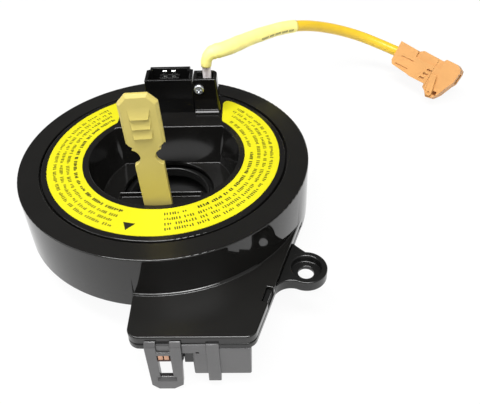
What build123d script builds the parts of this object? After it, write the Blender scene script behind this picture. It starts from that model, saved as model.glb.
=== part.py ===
from build123d import *
import os
from math import atan2, cos, degrees, hypot, pi, radians, sin, tan

# Steering clock spring: a flat round housing that bolts behind the steering wheel, with a rotor
# that turns with the wheel and a coiled flat cable that joins the two electrically.
# Millimetres. The origin is on the rotation axis at the underside of the drum. +Z points up the
# column to the steering wheel, -Y to the car harness sockets, +X to the fixing lug.

# ---- driving sizes: drum ----
DRUM_R = 54.0
DRUM_HEIGHT = 22.3
DRUM_WALL = 2.0
RING_WIDTH = 7.8               # fixed top ring, from the drum's outside inwards
RING_THICKNESS = 1.7
EDGE_ROUND = 0.5               # small rounds on moulded outer edges
LIP_PROUD = 0.5                # lip along the foot of the drum wall, on the apron
LIP_END_X = 36.0

# ---- clearances ----
DISC_GAP = 0.7                 # radial gap between top ring and rotor disc
AXIAL_GAP = 0.3                # running gap of turning faces
BEARING_GAP = 0.06             # radial running fit of the hub on its bearing ring
FIT_GAP = 0.1                  # fixed parts that slip together
FILM_GAP = 0.4                 # slippery films, from the walls round them
THROUGH = 1.0                  # how far a cutting tool runs past a face

# ---- driving sizes: rotor ----
DISC_THICKNESS = 2.0
FLANGE_LAP = 1.4               # how far the rotor flange reaches under the top ring
FLANGE_THICKNESS = 1.6
FLANGE_WIDTH = 4.0
HUB_WALL = 2.2                 # wall between the hole and the flat cable
HOLE_R = 28.0                  # round part of the D-shaped hole, at the top
HOLE_FLAT_Y = 18.5             # flat rear wall of the hole, at the top
CUP_TAPER = 2.4                # the hole narrows by this much to the cup floor
CUP_FLAT_TAPER = 1.5
CUP_FLOOR_Z = 5.3
CUP_FLOOR_THICKNESS = 1.6
CUP_LEDGE = 8.0                # width of the cup floor round its opening
POCKET_WALL = 1.8              # walls round the wiring pocket behind the flat
SHELF_Z = 18.0                 # top of the front shelf inside the hole
SHELF_THICKNESS = 3.0
SHELF_DEPTH = 12.4             # from the front of the hole to the shelf's rear edge
SHELF_HALF_WIDTH = 15.2
SHELF_OVERLAP = 0.6            # how far the shelf runs into the wall of the hole
GROOVE_WIDTH = 3.1             # groove for the lock tab's foot
GROOVE_WALL = 0.7
GROOVE_DEPTH = 1.9

# ---- driving sizes: base ----
BASE_THICKNESS = 2.0
SLEEVE_R = 16.0                # short sleeve that locates on the steering column
SLEEVE_WALL = 1.0
SLEEVE_TOP_Z = 3.9
BEARING_RING_WIDTH = 1.9
FILM_THICKNESS = 0.3           # slippery film above and below the coiled cable
CATCH_ANGLES = (52.0, 90.0, 128.0, 196.0)
CATCH_WIDTH = 7.0              # catches that hold the base in the drum
CATCH_TONGUE = 0.9             # thickness of a catch's tongue
CATCH_TOP_Z = 6.2
CATCH_HOOK_Z = (3.6, 5.6)
CATCH_HOOK_REACH = 1.4

# ---- driving sizes: apron ----
APRON_LEFT_X = -6.5
APRON_REACH = 17.3             # how far the apron's front stands out from the drum
APRON_TANGENT_ANGLE = -18.0    # where the slanted side leaves the drum, degrees
APRON_CORNER_R = 4.0
APRON_BOTTOM_Z = 0.3           # the apron's underside lies a little above the drum's
APRON_TOP_Z = 6.1
PARTING_Z = 3.0
PARTING_GROOVE = (0.4, 0.6)    # height and depth of the shadow line
SHELL_WALL = 1.6
SNAP_LENGTH = 6.4              # catch on the slanted side
SNAP_DEPTH = 2.4
SNAP_FROM_FRONT = 16.7
SNAP_TOP_DROP = 1.0
SNAP_INSET = 0.6

# ---- driving sizes: lug ----
LUG_X = 51.4
LUG_Y = -40.7
LUG_R = 7.3
LUG_TOP_Z = 4.2
LUG_POCKET_R = 5.3
LUG_POCKET_Z = 1.5
LUG_HOLE_R = 2.75
NECK_REAR = 11.7               # where the lug's neck meets the slanted side, from the lug's middle
NECK_FRONT = 8.9
NECK_ROOT = 2.0                # how far the neck runs into the apron
NECK_REAR_CURVE = ((-1.8, 9.2), (0.3, 7.2))       # middle and end of the hollow curve, from the eye
NECK_FRONT_CURVE = ((-6.8, -6.2), (-3.2, -6.5))

# ---- driving sizes: harness block ----
BLOCK_X = (13.7, 32.4)
BLOCK_DEPTH = 11.5
BLOCK_BOTTOM_Z = -13.2
BLOCK_WALL = 1.3
BLOCK_FLOOR = 2.0
BLOCK_ROUND = 0.6
BLOCK_NOTCH_X = 4.0            # notch in the rear wall, from each side
BLOCK_NOTCH_HEIGHT = 5.0
KEY_X = (18.3, 22.4)           # polarising rib on the block
KEY_PROUD = 0.8
KEY_BOTTOM_Z = -16.6
KEY_CHAMFER = 0.5
KEY_TOP_Z = 3.4
PLATE_PROUD = 0.5               # plate between key and latch loop
PLATE_Z = (-1.4, 2.9)
DIMPLE_R = 0.7
DIMPLE_DEPTH = 0.6
DIMPLE_X = 1.7                 # dimple from the block's left side
DIMPLE_Z = -1.5
BLOCK_PIN_PITCH = 3.3
BLOCK_PIN_COUNT = 4
BLOCK_PIN_X = 17.6             # first blade of the front row
BLOCK_ROWS = (3.7, 7.9)        # rows of blades, from the block's front
BLOCK_PIN_TIP_Z = -8.6

# ---- driving sizes: socket with the latch loop ----
LOOP_X = (-0.9, 10.6)
LOOP_DEPTH = 12.0
LOOP_SET_BACK = 1.0            # the shell's front, from the apron's front
LOOP_SHELL_Z = -7.0
LOOP_SHELL_WALL = 1.2
LOOP_SHELL_FRONT_WALL = 0.9
LOOP_SHELL_FLOOR = 1.4
LOOP_MOUTH_SILL = 1.0
LOOP_BOTTOM_Z = -19.7
LOOP_THICKNESS = 2.6
LOOP_PROUD = 1.6
LOOP_WINDOW_X = (2.6, 6.9)
LOOP_WINDOW_Z = (-14.2, -1.2)
LOOP_SILL = 1.6                # bevel at the window's lower edge
LOOP_CHAMFER = 2.2
LOOP_CHAMFER_STRETCH = 1.4
LOOP_TAPER = 0.8               # the loop narrows by this much to its end
LOOP_FOOT_HALF = 1.8           # two feet that carry the loop on the apron's front
LOOP_FOOT_HEIGHT = 4.1
LOOP_FOOT_CHAMFER = 1.4
LOOP_PINS_X = (3.6, 5.6)
LOOP_PIN_ROW = 2.1             # the blades, from the apron's front
LOOP_PIN_TIP_Z = -7.6
BRIDGE_BACK = 1.0              # wall between the two sockets, from the shell's front
BRIDGE_THICKNESS = 2.0
BRIDGE_BOTTOM_Z = -9.9         # ---- driving sizes: tower ----
TOWER_FROM_RIM = 6.3           # rear of the socket, from the disc's rim
TOWER_HEIGHT = 15.2
SOCKET_X = (-9.2, 9.6)
SOCKET_DEPTH = 10.8
SOCKET_WALL = 1.2
SOCKET_FLOOR = 3.2
SOCKET_NOTCH = 1.3             # steps at the socket's rear corners
SOCKET_STEP = 2.0
SOCKET_STEP_SLANT = 0.5
LEDGE_DEPTH = 4.0              # raised ledge that carries the rear pins
LEDGE_DROP = 2.9
LEDGE_SIDE = 2.2
REAR_PIN_ROW = 2.2             # rear pins, from the socket's rear
FRONT_PIN_ROW = 4.0            # front pins and wires, from the tower's front
SOCKET_PINS_X = (-1.9, 1.6)
REAR_PIN_DROP = 0.4            # pin tips, from the tower's top
FRONT_PIN_DROP = 5.0
CAP_X = (10.0, 20.3)
CAP_DEPTH = 7.4
CAP_WALL = 1.3
CAP_ROUND = 2.4
CAP_FRONT_ROUND = 1.0
CAP_DRAFT = 0.5
FOOT_DEPTH = 1.6               # step at the cap's foot
FOOT_HEIGHT = 1.3
FOOT_SIDE = 0.6
FOOT_CHAMFER = 0.6
POST_X = (11.35, 13.2)         # post on the rotor that the cap is screwed to
POST_DEPTH = 4.4
POST_ROOT = 0.5
POST_DROP = 1.6
SCREW_X = 12.15
SCREW_DROP = 4.1               # screw, from the tower's top
SCREW_HEAD_R = 2.0
SCREW_HEAD_HEIGHT = 1.0
SCREW_SHANK_R = 0.7
SCREW_LENGTH = 5.6
RECESS_LENGTH = 2.2            # cross recess in the screw's head
RECESS_WIDTH = 1.0
RECESS_DEPTH = 0.25

# ---- driving sizes: lock tab ----
TAB_X = 0.7
TAB_LEAN = 2.5                 # degrees, its top towards the left
TAB_FROM_HOLE = 1.0            # front face, from the front of the hole
TAB_THICKNESS = 2.0
TAB_TOP_Z = 65.4
TAB_TOE_Z = 12.6
TAB_TOE_CHAMFER = 1.0
TAB_TOE_RISE = 2.0
TAB_HEAD_HALF = 6.4
TAB_TOP_HALF = 3.5
TAB_HEAD_Z = (47.0, 62.4)      # straight sides of the head
TAB_NECK_HALF = 2.5
TAB_NECK_Z = 42.1
TAB_NOTCH_R = 3.2
TAB_BODY_HALF = 4.8
TAB_SLOT_GAP = 0.2
TAB_TOE_GAP = 1.5              # free space under the toe
TAB_EDGE_BEVEL = 0.9
SHOULDER_ANGLE = 38.0          # slanted shoulders below the head
SHOULDER_WIDTH = 2.4
SHOULDER_LENGTH = 8.0
SHOULDER_OUT = 1.2
GRIP_LEVELS = (50.1, 53.7, 57.3)
GRIP_HEIGHT = 3.4
GRIP_HALF = 3.5
GRIP_LOW_HALF = 2.9
GRIP_PROUD = 1.2               # ---- driving sizes: pins, strips, label and flat cable ----
PIN_WIDTH = 1.5
PIN_THICKNESS = 0.8
PIN_TIP_SHARE = 0.35
STRIP_THICKNESS = 0.5
STRIP_WIDTH = 1.0
STRIP_PITCH = 1.6
STRIP_START_X = 20.0
STRIP_RUN = 5.0                # straight start of each strip at the flat cable
STRIP_BEND_R = 0.6
STRIP_END = 0.5                # strips run past the pins by this much
PIN_STRIP_HALF = 1.1
WIRE_STRIP_HALF = 0.6
CARRIER_X = (-5.0, 18.2)
CARRIER_SIDE = 0.5
CARRIER_LIFT = 0.2
LABEL_THICKNESS = 0.2
LABEL_MARGIN = 2.24            # from the disc's rim
LABEL_HOLE_MARGIN = 2.34       # from the hole's edge
LABEL_END_X = 21.0
LABEL_ROUND = 2.0
RIBBON_THICKNESS = 0.3
RIBBON_WIDTH = 15.0
RIBBON_TURNS = 6
RIBBON_ANGLE = -58.0           # where the flat cable leaves the hub and reaches the wall
RIBBON_HUB_GAP = 1.6
RIBBON_WALL_GAP = 1.5
CLIP_LENGTH = 8.0
CLIP_EDGE = 0.4                # the clips end this far inside the cable's edges
CLIP_ROUND = 0.8
CLIP_LAP = 1.0

# ---- driving sizes: lead ----
WIRE_R = 0.85
WIRE_X = (14.55, 16.25)
WIRE_START_DROP = 10.1         # wires start this far below the tower's top
LEAD_R = 2.35
SLEEVE_OUTER_R = 2.65
LEAD_POINTS = [
    (15.4, 32.4, 41.4), (15.4, 32.4, 44.2), (17.6, 33.3, 46.8), (23.2, 37.0, 46.1),
    (30.0, 46.0, 44.7), (38.0, 55.5, 42.9), (47.1, 65.2, 40.7), (56.8, 73.4, 37.4),
    (67.5, 81.8, 31.9), (79.5, 88.1, 25.7), (90.6, 89.2, 20.8), (103.0, 84.3, 16.9),
]
SLEEVE_POINT_COUNT = 8         # the sleeve covers the lead up to this point
BEND_SHARE = 0.45              # share of the shorter run that a bend takes up
LEAD_END_SHARE = 0.4           # share of the last run that lies in the plug

# ---- driving sizes: plug on the lead ----
PLUG_ORIGIN = (101.7, 84.8, 17.3)
PLUG_AXIS = (0.768, -0.621, -0.154)    # from the lead to the nose
PLUG_FACE = (-0.459, -0.703, 0.543)# out of the flat face
PLUG_THICKNESS = 8.0
PLUG_COVER = 1.5               # thickness of the snapped-on cover
PLUG_BODY = [(0.8, 5.1), (9.2, 4.6), (10.6, 4.3), (12.6, 5.6), (22.9, 5.2), (24.0, 6.4), (29.3, 6.4),
             (31.6, 5.0), (32.0, 3.5), (31.6, -1.6), (30.3, -3.7), (28.0, -9.0), (25.7, -11.9),
             (23.4, -12.3), (21.6, -10.0), (20.0, -9.0), (19.8, -7.4), (12.3, -7.4), (9.6, -6.9),
             (1.9, -6.0), (0.8, -4.3)]
PLUG_EDGE = 0.5
PLUG_COVER_END = 20.6
PLUG_MOUTH_Y = (-1.4, 3.2)
PLUG_MOUTH_HALF = 1.7
PLUG_MOUTH_DEPTH = 8.0
PLUG_NOSE_X = 32.0
PLUG_GROOVES = ((7.6, -0.8, 6.5), (6.4, -5.0, 6.2))# x, y and length
PLUG_GROOVE = (0.6, 0.4)       # width and depth
PLUG_SLOTS = ((19.2, -1.2), (18.4, -3.4), (17.6, -5.6))
PLUG_SLOT = (2.3, 0.9, 0.8)    # length, width and depth
PLUG_STRIP = ((10.6, 23.4), 1.6, 0.8)       # low strip along one side: its run, its edge, its depth
PLUG_KEYHOLE = (26.3, -9.2, 1.8, 2.4)       # small hole beside the slide: middle, size, depth
LATCH_MIDDLE = (23.3, -6.6)
LATCH_SIZE = (2.9, 9.8)
LATCH_TURN = 12.0
LATCH_HEIGHT = 1.2
LATCH_ROUND = 1.2
LATCH_DIMPLE_R = 0.5
LATCH_DIMPLE_END = 1.4
CONTACT_PITCH = 2.6
CONTACT_HALF = (0.7, 0.6)      # half width and half height
CONTACT_SET_BACK = 3.0

# ---- derived levels and radii ----
TOP_Z = DRUM_HEIGHT
DRUM_INNER_R = DRUM_R - DRUM_WALL
RING_INNER_R = DRUM_R - RING_WIDTH
DISC_R = RING_INNER_R - DISC_GAP
DISC_BOTTOM_Z = TOP_Z - DISC_THICKNESS
FLANGE_R = RING_INNER_R + FLANGE_LAP
FLANGE_TOP_Z = TOP_Z - RING_THICKNESS - AXIAL_GAP
FLANGE_BOTTOM_Z = FLANGE_TOP_Z - FLANGE_THICKNESS
HUB_R = HOLE_R + HUB_WALL
CUP_R = HOLE_R - CUP_TAPER
CUP_FLAT_Y = HOLE_FLAT_Y - CUP_FLAT_TAPER
CUP_OPENING_R = CUP_R - CUP_LEDGE
CUP_BOTTOM_Z = CUP_FLOOR_Z - CUP_FLOOR_THICKNESS
SHELF_BACK_Y = SHELF_DEPTH - HOLE_R
GROOVE_FRONT_Y = SHELF_BACK_Y - GROOVE_WALL - GROOVE_WIDTH
BASE_R = DRUM_INNER_R - FIT_GAP
FILM_TOP_Z = BASE_THICKNESS + FILM_THICKNESS
BEARING_TOP_Z = CUP_BOTTOM_Z - AXIAL_GAP
BEARING_R = HOLE_R - BEARING_GAP
HUB_BOTTOM_Z = FILM_TOP_Z + AXIAL_GAP
COLUMN_BORE_R = SLEEVE_R - SLEEVE_WALL
APRON_FRONT_Y = -(DRUM_R + APRON_REACH)
SNAP_Y = APRON_FRONT_Y + SNAP_FROM_FRONT
BLOCK_PINS_X = [BLOCK_PIN_X + BLOCK_PIN_PITCH * count for count in range(BLOCK_PIN_COUNT)]
BLOCK_PINS_Y = [APRON_FRONT_Y + row for row in BLOCK_ROWS]
LOOP_SHELL_FRONT_Y = APRON_FRONT_Y + LOOP_SET_BACK
LOOP_PIN_Y = APRON_FRONT_Y + LOOP_PIN_ROW
STRIP_TOP_Z = FILM_TOP_Z + STRIP_THICKNESS
RIBBON_Z = FILM_TOP_Z + 2 * AXIAL_GAP
RIBBON_TOP_Z = RIBBON_Z + RIBBON_WIDTH
RIBBON_START_R = HUB_R + RIBBON_HUB_GAP
RIBBON_END_R = DRUM_INNER_R - RIBBON_WALL_GAP
RIBBON_STEP = (RIBBON_END_R - RIBBON_START_R) / (2 * RIBBON_TURNS)
TOWER_TOP_Z = TOP_Z + TOWER_HEIGHT
SOCKET_REAR_Y = DISC_R - TOWER_FROM_RIM
TOWER_FRONT_Y = SOCKET_REAR_Y - SOCKET_DEPTH
CAP_REAR_Y = TOWER_FRONT_Y + CAP_DEPTH
REAR_PIN_Y = SOCKET_REAR_Y - REAR_PIN_ROW
FRONT_PIN_Y = TOWER_FRONT_Y + FRONT_PIN_ROW
LEDGE_TOP_Z = TOWER_TOP_Z - LEDGE_DROP
ROTOR_STRIP_Z = DISC_BOTTOM_Z - STRIP_THICKNESS
CARRIER_Z = FLANGE_BOTTOM_Z + CARRIER_LIFT
CARRIER_Y = (HOLE_FLAT_Y + POCKET_WALL + CARRIER_SIDE, SOCKET_REAR_Y - FILM_GAP)
POST_TOP_Z = TOWER_TOP_Z - POST_DROP
SCREW_Z = TOWER_TOP_Z - SCREW_DROP
WIRE_START_Z = TOWER_TOP_Z - WIRE_START_DROP
LABEL_OUTER_R = DISC_R - LABEL_MARGIN
LABEL_INNER_R = HOLE_R + LABEL_HOLE_MARGIN
TAB_FACE_Y = TAB_FROM_HOLE - HOLE_R


# ---- small helpers ----
def box(x, y, z):
    """A box from three (low, high) pairs."""
    size = [high - low for low, high in (x, y, z)]
    middle = [(high + low) / 2 for low, high in (x, y, z)]
    return Pos(*middle) * Box(*size)


def cylinder(radius, z, x=0, y=0):
    """An upright cylinder between two levels."""
    return Pos(x, y, (z[0] + z[1]) / 2) * Cylinder(radius, z[1] - z[0])


def ring(outer_r, inner_r, z):
    return cylinder(outer_r, z) - cylinder(inner_r, z)


def prism(face, z):
    """An upright prism over a face, between two levels."""
    return Pos(0, 0, z[0]) * extrude(face, amount=z[1] - z[0])


def polygon(points):
    return make_face(Polyline(*points, close=True))


def rod(radius, length, x, y, z):
    """A rod along Y about its middle."""
    return Pos(x, y, z) * Rot(90, 0, 0) * Cylinder(radius, length)


def upright_edges(solid):
    return solid.edges().filter_by(Axis.Z)


def together(solids):
    return Compound(children=list(solids))


def save(name, shape):
    solids = ShapeList(s for s in shape.solids() if s.volume > 1e-4)
    whole = solids[0] if len(solids) == 1 else Compound(children=list(solids))
    whole.label = name
    export_step(whole, "parts/" + name + ".step")


# ---- apron outline, shared by both housing shells ----
def apron_side_point(y):
    """The point of the slanted side, a tangent of the drum, at the given y."""
    angle = radians(APRON_TANGENT_ANGLE)
    touch_x = DRUM_R * cos(angle)
    touch_y = DRUM_R * sin(angle)
    return touch_x + (touch_y - y) * tan(angle), y


def apron_face(inset=0.0):
    """Plan of the apron: a straight left edge, a front edge and a side tangent to the drum."""
    angle = radians(APRON_TANGENT_ANGLE)
    slant = inset / cos(angle)
    inside_drum = DRUM_INNER_R * 0.8
    touch = apron_side_point(DRUM_R * sin(angle))
    front = apron_side_point(APRON_FRONT_Y + inset)
    face = polygon([
        (APRON_LEFT_X + inset, -inside_drum),
        (APRON_LEFT_X + inset, APRON_FRONT_Y + inset),
        (front[0] - slant, front[1]),
        (touch[0] - slant, touch[1]),
        (inside_drum, touch[1]),
    ])
    corners = face.vertices().filter_by(lambda v: abs(v.Y - APRON_FRONT_Y - inset) < 0.01)
    return fillet(corners, APRON_CORNER_R - inset * 0.5)


def apron_prism(z, inset=0.0):
    return prism(apron_face(inset), z)


def snap_prism(z, clearance=0.0):
    """The catch on the slanted side, square to that side."""
    x, y = apron_side_point(SNAP_Y)
    size = (SNAP_DEPTH * 2 + 2 * clearance, SNAP_LENGTH + 2 * clearance, z[1] - z[0])
    return Pos(x, y, (z[0] + z[1]) / 2) * Rot(0, 0, APRON_TANGENT_ANGLE) * Box(*size)


# ---- catches between base and drum ----
def at_catches(piece):
    """Copies of a piece, drawn on the +X side, at every catch."""
    return [Rot(0, 0, angle) * piece for angle in CATCH_ANGLES]


def catch_tongue(gap=0.0):
    """The springy tongue that rises from the edge of the base."""
    half = CATCH_WIDTH / 2 + gap
    level = (BASE_THICKNESS, CATCH_TOP_Z + gap)
    wall = ring(BASE_R + gap, BASE_R - CATCH_TONGUE - gap, level)
    return wall & box((0, DRUM_R), (-half, half), level)


def catch_hook():
    """The wedge on the tongue that snaps into the drum's window."""
    low, high = CATCH_HOOK_Z
    profile = [(BASE_R - CATCH_TONGUE / 2, low), (BASE_R + CATCH_HOOK_REACH, low),
               (BASE_R, high), (BASE_R - CATCH_TONGUE / 2, high)]
    wedge = extrude(Plane.XZ * polygon(profile), amount=CATCH_WIDTH)
    return Pos(0, CATCH_WIDTH / 2, 0) * wedge


def catch_window():
    half = CATCH_WIDTH / 2 + AXIAL_GAP
    low, high = CATCH_HOOK_Z
    return box((DRUM_INNER_R - THROUGH, DRUM_R + THROUGH), (-half, half), (low - FIT_GAP, high + AXIAL_GAP))


# ---- housing ----
def make_upper_housing():
    """Drum wall and top ring, with the hood of the apron moulded on."""
    drum = cylinder(DRUM_R, (0, TOP_Z))
    drum = fillet(drum.edges().group_by(Axis.Z)[-1], EDGE_ROUND)
    drum -= cylinder(DRUM_INNER_R, (-THROUGH, TOP_Z - RING_THICKNESS))
    drum -= cylinder(RING_INNER_R, (0, TOP_Z + THROUGH))
    hood = apron_prism((PARTING_Z, APRON_TOP_Z)) - cylinder(DRUM_INNER_R, (0, TOP_Z))
    rim = hood.faces().sort_by(Axis.Z)[-1].outer_wire().edges()
    far = rim.filter_by(lambda e: hypot(e.center().X, e.center().Y) > DRUM_R + 0.5)
    hood = fillet(far, EDGE_ROUND)
    body = drum + hood
    lip = ring(DRUM_R + LIP_PROUD, DRUM_R - DRUM_WALL / 2, (APRON_TOP_Z - LIP_PROUD, APRON_TOP_Z + LIP_PROUD))
    body += lip & box((APRON_LEFT_X, LIP_END_X), (-2 * DRUM_R, 0), (0, TOP_Z))
    body -= apron_prism((-THROUGH, PARTING_Z))
    hollow = apron_prism((PARTING_Z - THROUGH, APRON_TOP_Z - SHELL_WALL), SHELL_WALL)
    body -= hollow - cylinder(DRUM_INNER_R - THROUGH, (0, TOP_Z))
    body -= snap_prism((PARTING_Z - THROUGH, APRON_TOP_Z + THROUGH))
    for window in at_catches(catch_window()):
        body -= window
    return body


def lug_outline(z):
    """Lug eye with its neck back to the slanted side."""
    eye = cylinder(LUG_R, z, LUG_X, LUG_Y)
    rear = apron_side_point(LUG_Y + NECK_REAR)
    front = apron_side_point(LUG_Y - NECK_FRONT)
    rear_middle, rear_end = [(LUG_X + x, LUG_Y + y) for x, y in NECK_REAR_CURVE]
    front_middle, front_end = [(LUG_X + x, LUG_Y + y) for x, y in NECK_FRONT_CURVE]
    rear_root, front_root = (rear[0] - NECK_ROOT, rear[1]), (front[0] - NECK_ROOT, front[1])
    neck = make_face([
        Line(rear_root, rear),
        ThreePointArc(rear, rear_middle, rear_end),
        Line(rear_end, front_end),
        ThreePointArc(front_end, front_middle, front),
        Line(front, front_root),
        Line(front_root, rear_root),
    ])
    return eye + prism(neck, z)


def make_lower_cover():
    """Base plate, tray of the apron, fixing lug, column sleeve and bearing ring in one moulding."""
    tray = (APRON_BOTTOM_Z, BASE_THICKNESS)
    body = cylinder(BASE_R, (0, BASE_THICKNESS)) + apron_prism(tray)
    wall = apron_prism((APRON_BOTTOM_Z, PARTING_Z)) - apron_prism((0, PARTING_Z + THROUGH), SHELL_WALL)
    height, depth = PARTING_GROOVE
    wall -= apron_prism((PARTING_Z - height, PARTING_Z)) - apron_prism((0, PARTING_Z + THROUGH), depth)
    body += wall - cylinder(DRUM_R, (-THROUGH, PARTING_Z + THROUGH))
    body += lug_outline((0, LUG_TOP_Z)) - apron_prism((PARTING_Z, LUG_TOP_Z + THROUGH)) \
        - cylinder(DRUM_R, (-THROUGH, LUG_TOP_Z + THROUGH)) \
        - apron_prism((BASE_THICKNESS, PARTING_Z), SHELL_WALL)
    body += snap_prism((BASE_THICKNESS, APRON_TOP_Z - SNAP_TOP_DROP), -FIT_GAP) \
        & apron_prism((0, APRON_TOP_Z), SNAP_INSET)
    for tongue, hook in zip(at_catches(catch_tongue()), at_catches(catch_hook())):
        body += tongue + hook
    body += cylinder(SLEEVE_R, (0, SLEEVE_TOP_Z))
    body += ring(BEARING_R, BEARING_R - BEARING_RING_WIDTH, (0, BEARING_TOP_Z))
    body -= cylinder(COLUMN_BORE_R, (-THROUGH, SLEEVE_TOP_Z + THROUGH))
    body -= cylinder(LUG_POCKET_R, (LUG_POCKET_Z, LUG_TOP_Z + THROUGH), LUG_X, LUG_Y)
    body -= cylinder(LUG_HOLE_R, (-THROUGH, LUG_TOP_Z), LUG_X, LUG_Y)
    return body + make_bridge_rib() - block_pins() - loop_pins()


# ---- harness sockets on the housing ----
def pin(x, y, z, width=PIN_WIDTH):
    """A flat blade with a tapered tip at the first level."""
    low, high = min(z), max(z)
    half = PIN_THICKNESS / 2
    blade = box((x - width / 2, x + width / 2), (y - half, y + half), (low, high))
    tip = blade.faces().sort_by(Axis.Z)[0 if z[0] < z[1] else -1]
    return chamfer(tip.edges().filter_by(Axis.X), PIN_THICKNESS * PIN_TIP_SHARE)


def pins(xs, ys, z):
    return [pin(x, y, z) for x in xs for y in ys]


def block_pins():
    return together(pins(BLOCK_PINS_X, BLOCK_PINS_Y, (BLOCK_PIN_TIP_Z, STRIP_TOP_Z)))


def loop_pins():
    return together(pins(LOOP_PINS_X, [LOOP_PIN_Y], (LOOP_PIN_TIP_Z, STRIP_TOP_Z)))


def make_harness_block():
    """Multi-way socket that opens downwards, with a polarising rib on its front."""
    left, right = BLOCK_X
    front = APRON_FRONT_Y
    rear = front + BLOCK_DEPTH
    body = box(BLOCK_X, (front, rear), (BLOCK_BOTTOM_Z, APRON_BOTTOM_Z))
    body = fillet(upright_edges(body), BLOCK_ROUND)
    body -= box((left + BLOCK_WALL, right - BLOCK_WALL), (front + BLOCK_WALL, rear - BLOCK_WALL),
                (BLOCK_BOTTOM_Z - THROUGH, -BLOCK_FLOOR))
    key = box(KEY_X, (front - KEY_PROUD, front + BLOCK_WALL), (KEY_BOTTOM_Z, APRON_BOTTOM_Z))
    body += chamfer(key.edges().group_by(Axis.Z)[0].filter_by(Axis.X), KEY_CHAMFER)
    body += box(KEY_X, (front - KEY_PROUD, front), (APRON_BOTTOM_Z, KEY_TOP_Z))
    body += box((LOOP_X[1], KEY_X[0]), (front - PLATE_PROUD, front), PLATE_Z)
    body -= box((left + BLOCK_NOTCH_X, right - BLOCK_NOTCH_X), (rear - BLOCK_WALL - THROUGH, rear + THROUGH),
                (BLOCK_BOTTOM_Z - THROUGH, BLOCK_BOTTOM_Z + BLOCK_NOTCH_HEIGHT))
    body -= rod(DIMPLE_R, 2 * DIMPLE_DEPTH, left + DIMPLE_X, front, DIMPLE_Z)
    return body - block_pins()


def loop_plate(front):
    """The latch loop: a tapered plate with cut corners, a window and a bevelled sill."""
    left, right = LOOP_X
    low_left, low_right = left + LOOP_TAPER * 0.3, right - LOOP_TAPER
    outline = polygon([
        (left, APRON_BOTTOM_Z), (right, APRON_BOTTOM_Z), (low_right, LOOP_BOTTOM_Z + LOOP_CHAMFER),
        (low_right - LOOP_CHAMFER_STRETCH * LOOP_CHAMFER, LOOP_BOTTOM_Z),
        (low_left + LOOP_CHAMFER, LOOP_BOTTOM_Z), (low_left, LOOP_BOTTOM_Z + LOOP_CHAMFER),
    ])
    loop = Pos(0, front + LOOP_THICKNESS, 0) * extrude(Plane.XZ * outline, amount=LOOP_THICKNESS)
    loop -= box(LOOP_WINDOW_X, (front - THROUGH, LOOP_SHELL_FRONT_Y + THROUGH), LOOP_WINDOW_Z)
    window_left, window_right = LOOP_WINDOW_X
    sill = Pos((window_left + window_right) / 2, front, LOOP_WINDOW_Z[0]) * Rot(45, 0, 0)
    return loop - sill * Box(window_right - window_left + 2 * THROUGH, LOOP_SILL, LOOP_SILL)


def make_loop_socket():
    """Two-way socket whose front wall runs down into a latch loop for the mating plug."""
    left, right = LOOP_X
    shell_front = LOOP_SHELL_FRONT_Y
    front = APRON_FRONT_Y - LOOP_PROUD
    rear = shell_front + LOOP_DEPTH - LOOP_THICKNESS
    body = box(LOOP_X, (shell_front, rear), (LOOP_SHELL_Z, APRON_BOTTOM_Z))
    body -= box((left + LOOP_SHELL_WALL, right - LOOP_SHELL_WALL),
                (shell_front + LOOP_SHELL_FRONT_WALL, rear - LOOP_SHELL_WALL),
                (LOOP_SHELL_Z - THROUGH, -LOOP_SHELL_FLOOR))
    body -= box(LOOP_WINDOW_X, (shell_front - THROUGH, shell_front + LOOP_SHELL_FRONT_WALL + THROUGH / 2),
                (LOOP_SHELL_Z + LOOP_MOUTH_SILL, LOOP_WINDOW_Z[1]))
    body += loop_plate(front)
    for x in (left + LOOP_FOOT_HALF, right - LOOP_FOOT_HALF):
        foot = box((x - LOOP_FOOT_HALF, x + LOOP_FOOT_HALF), (front, APRON_FRONT_Y),
                   (APRON_BOTTOM_Z, APRON_BOTTOM_Z + LOOP_FOOT_HEIGHT))
        top_edge = foot.edges().group_by(Axis.Z)[-1].filter_by(Axis.X).sort_by(Axis.Y)[0]
        body += chamfer(top_edge, LOOP_FOOT_CHAMFER)
    return body - loop_pins()


def make_bridge_rib():
    """Wall of the cover between the two sockets."""
    front = LOOP_SHELL_FRONT_Y + BRIDGE_BACK
    return box((LOOP_X[1], BLOCK_X[0]), (front, front + BRIDGE_THICKNESS), (BRIDGE_BOTTOM_Z, APRON_BOTTOM_Z))


def make_stator_strips():
    """Copper strips from the outer end of the flat cable to the socket pins."""
    targets = [(x, BLOCK_PINS_Y[0]) for x in BLOCK_PINS_X] + [(x, LOOP_PIN_Y) for x in LOOP_PINS_X]
    targets.sort()
    start_y = CLIP_LENGTH - RIBBON_END_R - CLIP_LAP
    bend_y = start_y - STRIP_RUN
    strips = []
    for count, (x, y) in enumerate(targets):
        lane = STRIP_START_X + STRIP_PITCH * count
        slant_end = max(bend_y - STRIP_BEND_R - abs(lane - x), y + STRIP_RUN)
        points = [(lane, start_y), (lane, bend_y), (x, slant_end), (x, y - STRIP_END)]
        path = FilletPolyline(*points, radius=STRIP_BEND_R)
        strip = prism(trace(path, line_width=STRIP_WIDTH), (FILM_TOP_Z, STRIP_TOP_Z))
        strips.append(strip - block_pins() - loop_pins())
    return together(solid for strip in strips for solid in strip.solids())


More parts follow.
